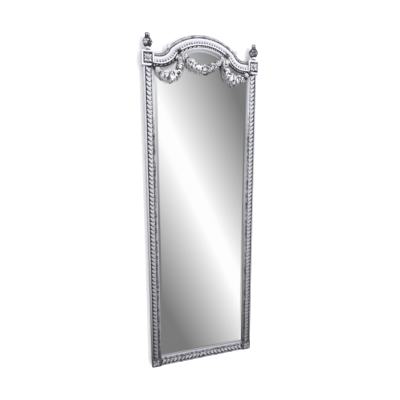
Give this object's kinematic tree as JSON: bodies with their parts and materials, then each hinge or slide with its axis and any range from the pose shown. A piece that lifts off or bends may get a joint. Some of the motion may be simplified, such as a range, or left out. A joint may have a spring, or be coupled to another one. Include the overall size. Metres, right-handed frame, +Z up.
{
  "type": "trumeau mirror",
  "caption": "Tall wall mirror in a narrow silvered frame with laurel bands, corner blocks, bud finials, an arched moulded crest and flower garlands hung before bevelled glass.",
  "frame": {"origin": "middle of the underside, halfway through the overall depth; the floor of a leaning mirror would be Z = 0", "axes": "+Z up along the stiles, +X to the viewer's right, +Y towards the wall, so the glass faces -Y"},
  "size_m": [0.622, 0.0612, 1.8],
  "materials": {
    "silver_frame": "antiqued silver leaf on gessoed wood",
    "silver_ornament": "antiqued silver leaf on carved and pressed ornament, dark in the hollows",
    "mirror_glass": "silvered float glass, bevelled",
    "backing_board": "plain brown fibreboard",
    "zinc_steel": "zinc plated",
    "bumper_rubber": "matt black"
  },
  "bodies": {
    "mirror": {"left_stile": "silver_frame", "right_stile": "silver_frame", "bottom_rail": "silver_frame", "left_foot_block": "silver_frame", "right_foot_block": "silver_frame", "left_top_block": "silver_frame", "right_top_block": "silver_frame", "left_shoulder": "silver_frame", "right_shoulder": "silver_frame", "arch": "silver_frame", "left_laurel_band": "silver_ornament", "right_laurel_band": "silver_ornament", "bottom_laurel_band": "silver_ornament", "arch_dart_strip": "silver_ornament", "left_shoulder_dart_strip": "silver_ornament", "right_shoulder_dart_strip": "silver_ornament", "arch_ribbon": "silver_ornament", "left_shoulder_ribbon": "silver_ornament", "right_shoulder_ribbon": "silver_ornament", "left_block_rosette": "silver_ornament", "right_block_rosette": "silver_ornament", "left_foot_leaf": "silver_ornament", "right_foot_leaf": "silver_ornament", "left_finial_stem": "silver_ornament", "right_finial_stem": "silver_ornament", "left_finial_bud": "silver_ornament", "right_finial_bud": "silver_ornament", "left_ear": "silver_ornament", "right_ear": "silver_ornament", "left_arch_knot": "silver_ornament", "right_arch_knot": "silver_ornament", "left_corner_knot": "silver_ornament", "right_corner_knot": "silver_ornament", "left_garland": "silver_ornament", "right_garland": "silver_ornament", "middle_garland": "silver_ornament", "mirror_glass": "mirror_glass", "backing_board": "backing_board", "left_lower_clip": "zinc_steel", "right_lower_clip": "zinc_steel", "left_upper_clip": "zinc_steel", "right_upper_clip": "zinc_steel", "crest_clip": "zinc_steel", "left_lower_clip_screw": "zinc_steel", "right_lower_clip_screw": "zinc_steel", "left_upper_clip_screw": "zinc_steel", "right_upper_clip_screw": "zinc_steel", "crest_clip_screw": "zinc_steel", "left_hanger_strap": "zinc_steel", "right_hanger_strap": "zinc_steel", "left_hanger_screw_1": "zinc_steel", "right_hanger_screw_1": "zinc_steel", "left_hanger_screw_2": "zinc_steel", "right_hanger_screw_2": "zinc_steel", "left_wall_bumper": "bumper_rubber", "right_wall_bumper": "bumper_rubber"},
    "left_ring": {"left_hanger_ring": "zinc_steel"},
    "right_ring": {"right_hanger_ring": "zinc_steel"}
  },
  "joints": [
    {"name": "left_ring_swing", "type": "hinge", "parent": "mirror", "child": "left_ring", "pos_m": [-0.28275, 0.02635, 1.5], "axis": [1, 0, 0], "range_deg": [0, 180]},
    {"name": "right_ring_swing", "type": "hinge", "parent": "mirror", "child": "right_ring", "pos_m": [0.28275, 0.02635, 1.5], "axis": [1, 0, 0], "range_deg": [0, 180]}
  ]
}
